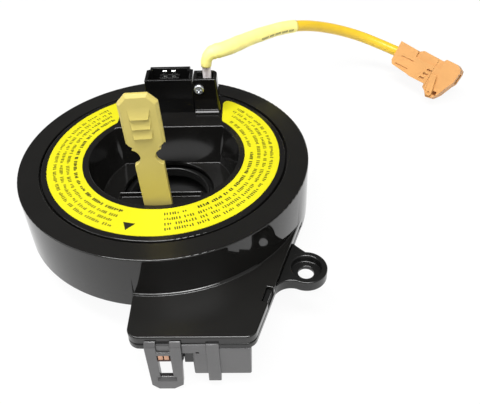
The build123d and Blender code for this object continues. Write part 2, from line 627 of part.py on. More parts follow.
# ---- flat cable and what guides it ----
def make_ribbon():
    """Flat flexible cable wound as a spiral of half circles between hub and drum wall."""
    half = RIBBON_THICKNESS / 2
    edges = {half: [], -half: []}
    ends = {}
    for offset in edges:
        for turn in range(2 * RIBBON_TURNS):
            near = RIBBON_START_R + turn * RIBBON_STEP
            far = near + RIBBON_STEP
            side = 1 if turn % 2 == 0 else -1
            middle = side * (near - far) / 2
            radius = (near + far) / 2 + offset
            start, top, stop = (middle + side * radius, 0), (middle, side * radius), (middle - side * radius, 0)
            edges[offset].append(ThreePointArc(start, top, stop))
            ends.setdefault(offset, [start, stop])[1] = stop
    closing = [Line(ends[half][i], ends[-half][i]) for i in (0, 1)]
    face = make_face(edges[half] + edges[-half] + closing)
    return Rot(0, 0, RIBBON_ANGLE) * prism(face, (RIBBON_Z, RIBBON_TOP_Z))


def make_lower_film():
    film = ring(BASE_R - FILM_GAP, HUB_R + FILM_GAP, (BASE_THICKNESS, FILM_TOP_Z))
    for tongue in at_catches(catch_tongue(FILM_GAP)):
        film -= tongue
    return film


def make_upper_film():
    return ring(FLANGE_R - 2 * AXIAL_GAP, HUB_R, (FLANGE_BOTTOM_Z - FILM_THICKNESS, FLANGE_BOTTOM_Z))


def make_inner_clip():
    """Block on the hub that grips the inner end of the flat cable."""
    clip = box((HUB_R - CLIP_LAP, RIBBON_START_R + CLIP_LAP), (-CLIP_LENGTH, 0),
               (RIBBON_Z + CLIP_EDGE, RIBBON_TOP_Z - CLIP_EDGE))
    clip -= cylinder(HUB_R, (0, TOP_Z))
    outer = upright_edges(clip).sort_by(Axis.X)[-2:]
    return Rot(0, 0, RIBBON_ANGLE) * fillet(outer, CLIP_ROUND)


def make_outer_clip():
    """Block on the drum wall that grips the outer end of the flat cable."""
    clip = box((RIBBON_END_R - CLIP_LAP, DRUM_R), (0.0, CLIP_LENGTH), (STRIP_TOP_Z, RIBBON_TOP_Z - CLIP_EDGE))
    clip &= cylinder(DRUM_INNER_R, (0, TOP_Z))
    return Rot(0, 0, RIBBON_ANGLE) * clip


# ---- rotor ----
def behind(y, span):
    """A block that fills everything behind the given y."""
    return box((-span, span), (y, y + span), (-span, span))


def hole_shape():
    """The D-shaped hole down to the cup floor: a cone with a leaning flat wall."""
    depth = TOP_Z - CUP_FLOOR_Z
    cup = Pos(0, 0, CUP_FLOOR_Z + depth / 2) * Cone(CUP_R, HOLE_R, depth)
    lean = degrees(atan2(HOLE_FLAT_Y - CUP_FLAT_Y, depth))
    return cup - Pos(0, CUP_FLAT_Y, CUP_FLOOR_Z) * Rot(-lean, 0, 0) * behind(0, 2 * HOLE_R)


def make_shelf():
    """Front shelf inside the hole, with a groove along it."""
    shelf = cylinder(HOLE_R + SHELF_OVERLAP, (SHELF_Z - SHELF_THICKNESS, SHELF_Z))
    shelf &= box((-SHELF_HALF_WIDTH, SHELF_HALF_WIDTH), (-HUB_R, SHELF_BACK_Y), (0, TOP_Z))
    groove_half = SHELF_HALF_WIDTH - GROOVE_WALL
    return shelf - box((-groove_half, groove_half), (GROOVE_FRONT_Y, GROOVE_FRONT_Y + GROOVE_WIDTH),
                       (SHELF_Z - GROOVE_DEPTH, TOP_Z))


def make_rotor():
    """Disc, running flange, hub and D-shaped cup in one moulding."""
    disc = cylinder(DISC_R, (DISC_BOTTOM_Z, TOP_Z))
    disc = fillet(disc.edges().group_by(Axis.Z)[-1], EDGE_ROUND)
    body = disc + ring(FLANGE_R, FLANGE_R - FLANGE_WIDTH, (FLANGE_BOTTOM_Z, FLANGE_TOP_Z))
    body += cylinder(HUB_R, (HUB_BOTTOM_Z, DISC_BOTTOM_Z))
    body -= hole_shape()
    body -= cylinder(CUP_OPENING_R, (0, CUP_FLOOR_Z + THROUGH))
    body -= cylinder(HOLE_R, (0, CUP_BOTTOM_Z))
    pocket = cylinder(HUB_R - POCKET_WALL, (0, DISC_BOTTOM_Z))
    body -= pocket & behind(HOLE_FLAT_Y + POCKET_WALL, 2 * HUB_R)
    body += make_shelf()
    body -= tab_slot()
    post_y = TOWER_FRONT_Y + CAP_WALL
    body += box(POST_X, (post_y, post_y + POST_DEPTH), (TOP_Z - POST_ROOT, POST_TOP_Z))
    body -= box(CARRIER_X, CARRIER_Y, (CARRIER_Z, DISC_BOTTOM_Z))
    return body - screw_shank() - switch_pins() - lead_terminals()


def on_tab(shape):
    """Lean a shape drawn upright about the middle of the slot's mouth."""
    return Pos(TAB_X, 0, TOP_Z) * Rot(0, -TAB_LEAN, 0) * shape


def tab_slot():
    half = TAB_BODY_HALF + TAB_SLOT_GAP
    slot = box((-half, half), (TAB_FACE_Y - TAB_SLOT_GAP, TAB_FACE_Y + TAB_THICKNESS + TAB_SLOT_GAP),
               (TAB_TOE_Z - TAB_TOE_GAP - TOP_Z, THROUGH))
    return on_tab(slot)


def socket_outline():
    left, right = SOCKET_X
    step_y = SOCKET_REAR_Y - SOCKET_STEP
    slant_y = step_y - SOCKET_STEP_SLANT
    return polygon([
        (left, TOWER_FRONT_Y), (right, TOWER_FRONT_Y), (right, slant_y),
        (right - SOCKET_NOTCH, step_y), (right - SOCKET_NOTCH, SOCKET_REAR_Y),
        (left + SOCKET_NOTCH, SOCKET_REAR_Y), (left + SOCKET_NOTCH, step_y), (left, slant_y),
    ])


def make_switch_socket():
    """Open-topped socket for the wheel switches, with a raised pin ledge at the rear."""
    outer = socket_outline()
    body = prism(outer, (TOP_Z, TOWER_TOP_Z))
    inner = offset(outer, amount=-SOCKET_WALL, kind=Kind.INTERSECTION)
    cavity = prism(inner, (TOP_Z + SOCKET_FLOOR, TOWER_TOP_Z + THROUGH))
    ledge = box((SOCKET_PINS_X[0] - LEDGE_SIDE, SOCKET_PINS_X[1] + LEDGE_SIDE),
                (SOCKET_REAR_Y - LEDGE_DEPTH, SOCKET_REAR_Y), (TOP_Z, LEDGE_TOP_Z))
    return body - (cavity - ledge) - switch_pins()


def switch_pins():
    rear = pins(SOCKET_PINS_X, [REAR_PIN_Y], (TOWER_TOP_Z - REAR_PIN_DROP, ROTOR_STRIP_Z))
    front = pins(SOCKET_PINS_X, [FRONT_PIN_Y], (TOWER_TOP_Z - FRONT_PIN_DROP, ROTOR_STRIP_Z))
    return together(rear + front)


def make_lead_cap():
    """Box that closes over the lead terminals, with a draughted side and a stepped foot."""
    left, right = CAP_X
    side = polygon([(left, TOP_Z), (right, TOP_Z), (right - 2 * CAP_DRAFT, TOWER_TOP_Z), (left, TOWER_TOP_Z)])
    body = Pos(0, CAP_REAR_Y, 0) * extrude(Plane.XZ * side, amount=CAP_DEPTH)
    middle = (left + right) / 2

    def outer_corner(rank):
        steep = body.edges().filter_by(lambda e: abs(e.tangent_at(0.5).Z) > 0.9 and e.center().X > middle)
        return steep.sort_by(Axis.Y)[rank]

    body = fillet(outer_corner(-1), CAP_ROUND)
    body = fillet(outer_corner(0), CAP_FRONT_ROUND)
    body -= box((left + CAP_WALL, right - CAP_WALL - 2 * CAP_DRAFT),
                (TOWER_FRONT_Y + CAP_WALL, CAP_REAR_Y - CAP_WALL), (TOP_Z - THROUGH, TOWER_TOP_Z + THROUGH))
    foot = box((left, right - FOOT_SIDE), (TOWER_FRONT_Y - FOOT_DEPTH, TOWER_FRONT_Y),
               (TOP_Z, TOP_Z + FOOT_HEIGHT))
    top_edge = foot.edges().group_by(Axis.Z)[-1].filter_by(Axis.X).sort_by(Axis.Y)[0]
    body += chamfer(top_edge, FOOT_CHAMFER)
    return body - rod(SCREW_SHANK_R, 4 * CAP_WALL, SCREW_X, TOWER_FRONT_Y, SCREW_Z)


def screw_shank():
    return rod(SCREW_SHANK_R, SCREW_LENGTH, SCREW_X, TOWER_FRONT_Y + SCREW_LENGTH / 2, SCREW_Z)


def make_cap_screw():
    """Pan-head screw with a cross recess."""
    head = rod(SCREW_HEAD_R, SCREW_HEAD_HEIGHT, SCREW_X, TOWER_FRONT_Y - SCREW_HEAD_HEIGHT / 2, SCREW_Z)
    head = fillet(head.edges().sort_by(Axis.Y)[0], SCREW_HEAD_HEIGHT * 0.6)
    face = Pos(SCREW_X, TOWER_FRONT_Y - SCREW_HEAD_HEIGHT, SCREW_Z)
    for turn in (0, 90):
        head -= face * Rot(0, turn, 0) * Box(RECESS_LENGTH, 2 * RECESS_DEPTH * 2, RECESS_WIDTH / 2)
    return head + screw_shank()


def lead_terminals():
    return together(pins(WIRE_X, [FRONT_PIN_Y], (WIRE_START_Z, ROTOR_STRIP_Z)))


def make_rotor_strips():
    """Copper strips under the disc, from the wiring pocket out to the tower pins."""
    level = (ROTOR_STRIP_Z, DISC_BOTTOM_Z)
    start_y = CARRIER_Y[0] + PIN_WIDTH
    runs = [(x, PIN_STRIP_HALF, REAR_PIN_Y) for x in SOCKET_PINS_X]
    runs += [(x, WIRE_STRIP_HALF, FRONT_PIN_Y) for x in WIRE_X]
    strips = []
    for x, half, end_y in runs:
        strip = box((x - half, x + half), (start_y, end_y + PIN_THICKNESS), level)
        strips.append(strip - switch_pins() - lead_terminals())
    return together(solid for strip in strips for solid in strip.solids())


def make_strip_carrier():
    """Plastic plate that holds the copper strips up against the disc."""
    return box(CARRIER_X, CARRIER_Y, (CARRIER_Z, ROTOR_STRIP_Z))


def make_label():
    """Thin ring sheet with a gap for the tower."""
    sheet = ring(LABEL_OUTER_R, LABEL_INNER_R, (TOP_Z, TOP_Z + LABEL_THICKNESS))
    sheet -= box((-LABEL_END_X, LABEL_END_X), (0, DRUM_R), (0, TOP_Z + THROUGH))
    return fillet(upright_edges(sheet), LABEL_ROUND)


# ---- lock tab ----
def tab_outline():
    """Front view of the tab: toe, body, notched neck, shoulders and head."""
    half = TAB_HEAD_HALF
    low, high = TAB_HEAD_Z
    neck = TAB_NECK_Z - 1.0
    right = [
        (TAB_BODY_HALF - TAB_TOE_CHAMFER, TAB_TOE_Z), (TAB_BODY_HALF, TAB_TOE_Z + TAB_TOE_RISE),
        (TAB_BODY_HALF, neck), (half, neck), (half, high), (TAB_TOP_HALF, TAB_TOP_Z),
    ]
    left = [(-x, z) for x, z in reversed(right)]
    face = polygon(right + left)
    for side in (-1, 1):
        face -= Pos(side * (TAB_NECK_HALF + TAB_NOTCH_R), TAB_NECK_Z) * Circle(TAB_NOTCH_R)
        shoulder = Pos(side * (half + SHOULDER_OUT), (neck + low) / 2 - 0.5) * Rot(0, 0, side * SHOULDER_ANGLE)
        face -= shoulder * Rectangle(SHOULDER_WIDTH, SHOULDER_LENGTH)
    return face


def make_lock_tab():
    """Pull-out tab that keeps the rotor centred until fitting."""
    rear_y = TAB_FACE_Y + TAB_THICKNESS
    tab = Pos(0, rear_y, 0) * extrude(Plane.XZ * tab_outline(), amount=TAB_THICKNESS)
    front = tab.faces().sort_by(Axis.Y)[0]
    middle_z = (TAB_HEAD_Z[0] + TAB_HEAD_Z[1]) / 2
    head_edges = front.edges().filter_by(lambda e: e.center().Z > middle_z - THROUGH)
    tab = chamfer(head_edges, TAB_EDGE_BEVEL)
    for level in GRIP_LEVELS:
        tab += grip_wedge(level)
    return on_tab(Pos(0, 0, -TOP_Z) * tab)


def grip_wedge(level):
    """A wedge, narrower below, that stands proud at its lower edge and runs out upwards."""
    profile = polygon([(TAB_FACE_Y, level), (TAB_FACE_Y - GRIP_PROUD, level),
                       (TAB_FACE_Y, level + GRIP_HEIGHT)])
    wedge = Pos(-GRIP_HALF, 0, 0) * extrude(Plane.YZ * profile, amount=2 * GRIP_HALF)
    front = polygon([(-GRIP_LOW_HALF, level), (GRIP_LOW_HALF, level), (GRIP_HALF, level + GRIP_HEIGHT),
                     (-GRIP_HALF, level + GRIP_HEIGHT)])
    return wedge & (Pos(0, TAB_FACE_Y, 0) * extrude(Plane.XZ * front, amount=2 * GRIP_PROUD))


# ---- lead ----
def arc_radii(points):
    """For each corner, a share of the shorter run over the tangent of half the turn."""
    places = [Vector(*p) for p in points]
    radii = []
    for before, here, after in zip(places, places[1:], places[2:]):
        run_in, run_out = here - before, after - here
        half_turn = radians(run_in.get_angle(run_out)) / 2
        radii.append(BEND_SHARE * min(run_in.length, run_out.length) / tan(half_turn))
    return radii


def make_lead(points, name, radius, bore=0.0):
    """A tube along the route; prints its length, its volume against its section and its bends."""
    radii = arc_radii(points)
    path = FilletPolyline(*points, radius=radii)
    section = Circle(radius) - Circle(bore) if bore else Circle(radius)
    solid = sweep(Plane(origin=path @ 0, z_dir=path % 0) * section, path=path)
    area = pi * (radius ** 2 - bore ** 2)
    share = solid.volume / (area * path.length)
    print(name, "length", round(path.length, 1), "volume/section", round(share, 3))
    print(name, "radii", [round(r, 1) for r in radii])
    return solid


def make_lead_cable():
    return make_lead(LEAD_POINTS, "lead_cable", LEAD_R)


def make_lead_sleeve():
    return make_lead(LEAD_POINTS[:SLEEVE_POINT_COUNT], "lead_sleeve", SLEEVE_OUTER_R, LEAD_R)


def make_wires():
    """Two insulated wires from the terminals up into the lead."""
    lead_start_z = LEAD_POINTS[0][2]
    return together(cylinder(WIRE_R, (WIRE_START_Z, lead_start_z), x, FRONT_PIN_Y) for x in WIRE_X)


# ---- plug on the lead ----
def on_plug(shape):
    """Move a shape from the plug's own frame, x to its nose and z out of its face, to its place."""
    return Plane(origin=PLUG_ORIGIN, x_dir=PLUG_AXIS, z_dir=PLUG_FACE) * shape


def across_plug(x, z):
    """A block across the plug's whole width."""
    return box(x, (-PLUG_NOSE_X, PLUG_NOSE_X), z)


def lead_end():
    """The straight end of the lead inside the plug."""
    last, before = Vector(*LEAD_POINTS[-1]), Vector(*LEAD_POINTS[-2])
    run = last - before
    middle = last - run * (LEAD_END_SHARE / 2)
    return Plane(origin=middle, z_dir=run) * Cylinder(LEAD_R, run.length * LEAD_END_SHARE)


def plug_strip():
    """The low strip along one side of the face."""
    run, edge, depth = PLUG_STRIP
    half = PLUG_THICKNESS / 2
    return box(run, (edge, PLUG_NOSE_X), (half - depth, half + THROUGH))


def make_plug_body():
    """Plug housing: wider head with the mating mouth at its nose, lead entry at its back."""
    half = PLUG_THICKNESS / 2
    body = prism(polygon(PLUG_BODY), (-half, half))
    body = chamfer(body.edges().group_by(Axis.Z)[0], PLUG_EDGE)
    body -= across_plug((-THROUGH, PLUG_COVER_END), (half - PLUG_COVER, half + THROUGH))
    body -= box((PLUG_NOSE_X - PLUG_MOUTH_DEPTH, PLUG_NOSE_X + THROUGH), PLUG_MOUTH_Y,
                (-PLUG_MOUTH_HALF, PLUG_MOUTH_HALF))
    x, y, size, depth = PLUG_KEYHOLE
    body -= Pos(x, y, half) * Box(size, size, 2 * depth)
    return on_plug(body - plug_strip()) - lead_end()


def make_plug_cover():
    """Cover over the wire end, with two grooves and three sight slots."""
    half = PLUG_THICKNESS / 2
    cover = prism(polygon(PLUG_BODY), (half - PLUG_COVER, half))
    cover &= across_plug((-THROUGH, PLUG_COVER_END - FIT_GAP), (0, half + THROUGH))
    for x, y, length in PLUG_GROOVES:
        cover -= Pos(x, y, half) * Box(length, PLUG_GROOVE[0], 2 * PLUG_GROOVE[1])
    for x, y in PLUG_SLOTS:
        cover -= Pos(x, y, half) * Box(PLUG_SLOT[0], PLUG_SLOT[1], 2 * PLUG_SLOT[2])
    return on_plug(cover - plug_strip()) - lead_end()


def make_plug_latch():
    """Locking slide across the head."""
    base = PLUG_THICKNESS / 2
    top = base + LATCH_HEIGHT
    half_width, half_length = LATCH_SIZE[0] / 2, LATCH_SIZE[1] / 2
    slide = box((-half_width, half_width), (-half_length, half_length), (base, top))
    slide = fillet(upright_edges(slide), LATCH_ROUND)
    slide -= cylinder(LATCH_DIMPLE_R, (top - LATCH_DIMPLE_R, top + THROUGH), 0,
                      LATCH_DIMPLE_END - half_length)
    return on_plug(Pos(*LATCH_MIDDLE, 0) * Rot(0, 0, LATCH_TURN) * slide)


def make_plug_terminals():
    """Two spring contacts at the back of the mouth."""
    back = PLUG_NOSE_X - PLUG_MOUTH_DEPTH
    middle = (PLUG_MOUTH_Y[0] + PLUG_MOUTH_Y[1]) / 2
    half_width, half_height = CONTACT_HALF
    contacts = []
    for y in (middle - CONTACT_PITCH / 2, middle + CONTACT_PITCH / 2):
        contacts.append(box((back, PLUG_NOSE_X - CONTACT_SET_BACK), (y - half_width, y + half_width),
                            (-half_height, half_height)))
    return together(on_plug(contact) for contact in contacts)


NODES = {
    "upper_housing": make_upper_housing,
    "lower_cover": make_lower_cover,
    "harness_block": make_harness_block,
    "harness_block_pins": block_pins,
    "loop_socket": make_loop_socket,
    "loop_socket_pins": loop_pins,
    "stator_strips": make_stator_strips,
    "outer_ribbon_clip": make_outer_clip,
    "inner_ribbon_clip": make_inner_clip,
    "flat_cable": make_ribbon,
    "lower_film": make_lower_film,
    "upper_film": make_upper_film,
    "rotor": make_rotor,
    "switch_socket": make_switch_socket,
    "switch_pins": switch_pins,
    "rotor_strips": make_rotor_strips,
    "strip_carrier": make_strip_carrier,
    "lead_cap": make_lead_cap,
    "cap_screw": make_cap_screw,
    "lead_terminals": lead_terminals,
    "label": make_label,
    "lock_tab": make_lock_tab,
    "lead_wires": make_wires,
    "lead_cable": make_lead_cable,
    "lead_sleeve": make_lead_sleeve,
    "plug_body": make_plug_body,
    "plug_cover": make_plug_cover,
    "plug_latch": make_plug_latch,
    "plug_terminals": make_plug_terminals,
}

os.makedirs("parts", exist_ok=True)
for node, make in NODES.items():
    save(node, make())
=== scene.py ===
# %% [markdown]
# # A steering clock spring
# This flat round housing bolts behind a steering wheel. Its rotor turns with the wheel, and a coiled
# flat cable inside keeps the airbag and the switches connected. The rigid pieces come from CAD as a
# fixed frame, so this lesson adds what CAD leaves plain: the smooth lead and its sleeve, finishes, soft
# edges, print and light.

import random
from math import atan, cos, degrees, hypot, radians, sin

import bmesh
import bpy
from mathutils import Matrix, Vector


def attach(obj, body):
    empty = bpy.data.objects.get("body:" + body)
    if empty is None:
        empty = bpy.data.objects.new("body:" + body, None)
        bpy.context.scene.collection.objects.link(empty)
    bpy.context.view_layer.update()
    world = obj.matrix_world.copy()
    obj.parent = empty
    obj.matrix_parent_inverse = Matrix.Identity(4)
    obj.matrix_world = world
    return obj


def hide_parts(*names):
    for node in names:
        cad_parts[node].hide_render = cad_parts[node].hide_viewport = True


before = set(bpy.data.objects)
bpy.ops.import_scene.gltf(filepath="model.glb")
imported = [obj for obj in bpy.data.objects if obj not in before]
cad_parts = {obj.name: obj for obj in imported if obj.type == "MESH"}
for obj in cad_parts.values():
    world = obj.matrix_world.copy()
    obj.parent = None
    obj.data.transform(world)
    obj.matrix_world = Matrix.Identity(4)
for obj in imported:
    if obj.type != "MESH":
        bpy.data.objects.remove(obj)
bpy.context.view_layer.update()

# %% [markdown]
# ## Millimetres
# Every size on this product is known in millimetres, and Blender works in metres. One constant and one
# small helper keep the sizes readable in both.

# %% Millimetres to metres
MM = 0.001


def mm(*values):
    """A point given in millimetres, as a vector in metres."""
    return Vector(values) * MM


# %% [markdown]
# ## The camera
# The camera stands close, so near parts look larger than far ones. It is described by how steeply it
# looks down, how much it rolls, where its lens is and how much the housing is turned under it. A matrix
# built from its own right, up and back directions places it.

# %% Place the camera
IMAGE_WIDTH = 480
FOCAL_PIXELS = 635.0
SENSOR_MM = 36.0
LOOK_DOWN = radians(41.61)
CAMERA_ROLL = radians(-2.43)
HOUSING_TURN = radians(2.5)
CAMERA_PLACE = mm(36.05, -189.29, 166.61)
CAMERA_NEAR, CAMERA_FAR = 0.01, 20.0


def camera_axes():
    """Right, up and back of the camera, in the frame of the housing."""
    forward = Vector((0, cos(LOOK_DOWN), -sin(LOOK_DOWN)))
    level_up = Vector((0, sin(LOOK_DOWN), cos(LOOK_DOWN)))
    level_right = Vector((1, 0, 0))
    right = cos(CAMERA_ROLL) * level_right + sin(CAMERA_ROLL) * level_up
    up = cos(CAMERA_ROLL) * level_up - sin(CAMERA_ROLL) * level_right
    turn = Matrix.Rotation(HOUSING_TURN, 3, "Z")
    return turn @ right, turn @ up, turn @ -forward


camera_data = bpy.data.cameras.new("camera")
camera_data.sensor_width = SENSOR_MM
camera_data.lens = FOCAL_PIXELS / IMAGE_WIDTH * SENSOR_MM
camera_data.clip_start, camera_data.clip_end = CAMERA_NEAR, CAMERA_FAR
camera = bpy.data.objects.new("camera", camera_data)
bpy.context.collection.objects.link(camera)
axes = Matrix(camera_axes()).transposed().to_4x4()
camera.matrix_world = Matrix.Translation(CAMERA_PLACE) @ axes
bpy.context.scene.camera = camera
print("lens:", round(camera_data.lens, 1), "mm")

# %% [markdown]
# ## Nodes for the finishes
# A moulded surface is never one flat colour: its gloss changes a little where it has been touched, and
# its surface has a fine grain. Small helpers build such a material from noise on object coordinates, in
# metres, so the grain keeps its real size. Constant values go straight on the shader's own sockets.

# %% Helpers for noise, spread and mixed colours
NOISE_RANGE = (0.35, 0.65)
MIX_FIRST, MIX_SECOND, MIX_RESULT = 6, 7, 2


def material_nodes(name):
    """A new material with its node tree and shader."""
    material = bpy.data.materials.new(name)
    material.use_nodes = True
    tree = material.node_tree
    return material, tree, tree.nodes["Principled BSDF"]


def noise(tree, scale, detail=3.0):
    """A noise texture on object coordinates; scale is in bumps per metre."""
    place = tree.nodes.new("ShaderNodeTexCoord")
    texture = tree.nodes.new("ShaderNodeTexNoise")
    texture.inputs["Scale"].default_value = scale
    texture.inputs["Detail"].default_value = detail
    tree.links.new(place.outputs["Object"], texture.inputs["Vector"])
    return texture.outputs["Fac"]


def spread(tree, value, low, high):
    """Noise, spread from its middle range to low and high."""
    node = tree.nodes.new("ShaderNodeMapRange")
    node.inputs["From Min"].default_value, node.inputs["From Max"].default_value = NOISE_RANGE
    node.inputs["To Min"].default_value = low
    node.inputs["To Max"].default_value = high
    tree.links.new(value, node.inputs["Value"])
    return node.outputs["Result"]


def two_tone(tree, value, first, second):
    """A colour between two, by the value."""
    mix = tree.nodes.new("ShaderNodeMix")
    mix.data_type = "RGBA"
    mix.inputs[MIX_FIRST].default_value = (*first, 1)
    mix.inputs[MIX_SECOND].default_value = (*second, 1)
    tree.links.new(value, mix.inputs["Factor"])
    return mix.outputs[MIX_RESULT]


def math_node(tree, operation, first, second):
    """One math node; the second value is a number or another node's output."""
    node = tree.nodes.new("ShaderNodeMath")
    node.operation = operation
    tree.links.new(first, node.inputs[0])
    if isinstance(second, bpy.types.NodeSocket):
        tree.links.new(second, node.inputs[1])
    else:
        node.inputs[1].default_value = second
    return node.outputs[0]


# %% [markdown]
# The broad flat tops of the ring, the disc and the apron are duller than the walls. Object coordinates
# tell where they are: a math node measures how far a place is above or below each of the two heights.

# %% A helper for moulded finishes
TOP_HEIGHTS = (22.3, 6.1)
TOP_REACH = (0.01, 0.05)
BUMP_STRENGTH = 0.5
GRAIN_DETAIL = 2.0


def duller_on_top(tree, roughness, top):
    """The roughness, changed to top at the heights of the flat top faces."""
    place = tree.nodes.new("ShaderNodeTexCoord")
    part = tree.nodes.new("ShaderNodeSeparateXYZ")
    tree.links.new(place.outputs["Object"], part.inputs[0])
    offsets = []
    for height in TOP_HEIGHTS:
        above = math_node(tree, "SUBTRACT", part.outputs["Z"], height * MM)
        offsets.append(math_node(tree, "ABSOLUTE", above, 0))
    near, far = TOP_REACH
    node = tree.nodes.new("ShaderNodeMapRange")
    node.inputs["From Min"].default_value = near * MM
    node.inputs["From Max"].default_value = far * MM
    node.inputs["To Min"].default_value = top
    tree.links.new(roughness, node.inputs["To Max"])
    tree.links.new(math_node(tree, "MINIMUM", *offsets), node.inputs["Value"])
    return node.outputs["Result"]


def plastic(name, colour, rough, grain=3000.0, depth=0.02, mottle=0.06, gloss=0.5, cloud=60.0, top=None):
    """Moulded plastic: rough is (low, high), grain and cloud in bumps per metre, depth in millimetres."""
    material, tree, shader = material_nodes(name)
    patches = noise(tree, cloud)
    darker = [channel * (1 - mottle) for channel in colour]
    lighter = [min(1.0, channel * (1 + mottle)) for channel in colour]
    mottled = two_tone(tree, spread(tree, patches, 0, 1), darker, lighter)
    tree.links.new(mottled, shader.inputs["Base Color"])
    roughness = spread(tree, patches, *rough)
    if top is not None:
        roughness = duller_on_top(tree, roughness, top)
    tree.links.new(roughness, shader.inputs["Roughness"])
    shader.inputs["Specular IOR Level"].default_value = gloss
    bump = tree.nodes.new("ShaderNodeBump")
    bump.inputs["Distance"].default_value = depth * MM
    bump.inputs["Strength"].default_value = BUMP_STRENGTH
    tree.links.new(noise(tree, grain, GRAIN_DETAIL), bump.inputs["Height"])
    tree.links.new(bump.outputs["Normal"], shader.inputs["Normal"])
    return material


def metal(name, colour, rough, grain=6000.0, depth=0.004):
    """Bare metal with faint drawing marks."""
    material = plastic(name, colour, rough, grain, depth, mottle=0.12, cloud=900.0)
    material.node_tree.nodes["Principled BSDF"].inputs["Metallic"].default_value = 1.0
    return material


# %% [markdown]
# ## The lead
# The airbag lead leaves the tower straight up, bends over sharply, runs across above the table and
# comes down to its plug. A real lead is one smooth curve, so it is a NURBS curve whose control points
# are the route's own points. Its bevel has a depth of one, so each point's radius is the real radius.
# The first ones are slimmer, so the lead stays inside the pinched end of its sleeve.

# %% Lay the lead
LEAD_R = 2.35
LEAD_SQUEEZE = [0.78, 0.78, 0.86]
CURVE_STEPS = 10
ROUND_STEPS = 5
LEAD_ROUTE = [
    (15.4, 32.4, 41.4), (15.4, 32.4, 44.2), (17.6, 33.3, 46.8), (23.2, 37.0, 46.1),
    (30.0, 46.0, 44.7), (38.0, 55.5, 42.9), (47.1, 65.2, 40.7), (56.8, 73.4, 37.4),
    (67.5, 81.8, 31.9), (79.5, 88.1, 25.7), (90.6, 89.2, 20.8), (103.0, 84.3, 16.9),
]


def route_curve(name, points, thickness=0.0):
    """A smooth curve along the points; its thickness is the radius of a round section, slim at its start."""
    data = bpy.data.curves.new(name, "CURVE")
    data.dimensions = "3D"
    spline = data.splines.new("NURBS")
    spline.points.add(len(points) - 1)
    shares = LEAD_SQUEEZE + [1.0] * (len(points) - len(LEAD_SQUEEZE))
    for point, place, share in zip(spline.points, points, shares):
        point.co = (*mm(*place), 1)
        point.radius = thickness * share * MM
    spline.order_u = 3
    spline.use_endpoint_u = True
    data.resolution_u = CURVE_STEPS
    data.bevel_depth = 1.0 if thickness else 0.0
    data.bevel_resolution = ROUND_STEPS
    data.use_fill_caps = thickness > 0
    piece = bpy.data.objects.new(name, data)
    bpy.context.collection.objects.link(piece)
    return piece


lead = route_curve("lead", LEAD_ROUTE, LEAD_R)
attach(lead, "rotor")
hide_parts("lead_cable")

# %% [markdown]
# The places of the sleeve and of anything else on the lead are read from the same curve without its
# bevel, so they always follow it.

# %% Read the lead's centre line
def centre_line(points):
    """Points along the smooth curve, as Blender works it out."""
    bare = route_curve("bare_route", points)
    bpy.context.view_layer.update()
    mesh = bpy.data.meshes.new_from_object(bare.evaluated_get(bpy.context.evaluated_depsgraph_get()))
    places = [vertex.co.copy() for vertex in mesh.vertices]
    data = bare.data
    bpy.data.objects.remove(bare)
    bpy.data.curves.remove(data)
    bpy.data.meshes.remove(mesh)
    return places


lead_line = centre_line(LEAD_ROUTE)
lead_run = [0.0]
for before, after in zip(lead_line, lead_line[1:]):
    lead_run.append(lead_run[-1] + (after - before).length / MM)
print("lead length:", round(lead_run[-1], 1), "mm in", len(lead_line), "points")

# %% [markdown]
# ## The sleeve
# A thin soft sleeve covers the first half of the lead. It is pinched where it leaves the cap, creases
# at the sharp bend and lies flat and wide after it. It starts as one circle that is extruded ring by
# ring along the centre line; each ring has its own width and height.

# %% Helpers for a new piece and for a tube along a line
def new_piece(name, bm, body, material, smooth=True):
    """Turn a finished bmesh into a piece of the object."""
    mesh = bpy.data.meshes.new(name)
    for face in bm.faces:
        face.smooth = smooth
    bm.to_mesh(mesh)
    bm.free()
    mesh.materials.append(material)
    piece = bpy.data.objects.new(name, mesh)
    bpy.context.collection.objects.link(piece)
    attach(piece, body)
    return piece


def ring_places(line, side):
    """A frame at each point of the line, turned as little as possible from one to the next."""
    places = []
    for index, point in enumerate(line):
        ahead = line[min(index + 1, len(line) - 1)] - line[max(index - 1, 0)]
        ahead.normalize()
        side = (side - ahead * side.dot(ahead)).normalized()
        turn = Matrix((side, ahead.cross(side), ahead)).transposed().to_4x4()
        places.append(Matrix.Translation(point) @ turn)
    return places


def tube_along(bm, line, side, sizes, segments=40):
    """Extrude a circle ring by ring along the line; sizes are (half width, half height) in millimetres."""
    places = [place @ Matrix.Diagonal((wide * MM, high * MM, 1, 1))
              for place, (wide, high) in zip(ring_places(line, side), sizes)]
    first = bmesh.ops.create_circle(bm, segments=segments, radius=1, matrix=places[0])
    edges = list({edge for vertex in first["verts"] for edge in vertex.link_edges})
    for index in range(1, len(line)):
        made = bmesh.ops.extrude_edge_only(bm, edges=edges)["geom"]
        verts = [item for item in made if isinstance(item, bmesh.types.BMVert)]
        edges = [item for item in made if isinstance(item, bmesh.types.BMEdge)
                 and all(vertex in verts for vertex in item.verts)]
        step = places[index] @ places[index - 1].inverted()
        bmesh.ops.transform(bm, matrix=step, verts=verts)


# %% Make the sleeve
SLEEVE_WALL = 0.2
SLEEVE_END = 56.5
SLEEVE_SIDE = Vector((0.8, -0.6, 0))
SLEEVE_SHAPE = [(0.0, 2.05, 2.05), (3.0, 2.1, 2.1), (6.0, 2.75, 2.45), (8.5, 3.05, 2.6), (14.0, 3.15, 2.6),
                (30.0, 2.95, 2.6), (48.0, 2.75, 2.6), (70.0, 2.7, 2.6)]
CREASE_PLACE, CREASE_REACH = 6.5, 4.0
CREASE_DEPTH, CREASE_TURN = 0.14, 2.3
WAVES = ((0.06, 0.41), (0.04, 0.97))
sleeve_finish = plastic("soft_sleeve", (0.97, 0.87, 0.28), (0.35, 0.55), 1400, 0.06, gloss=0.4, cloud=220)


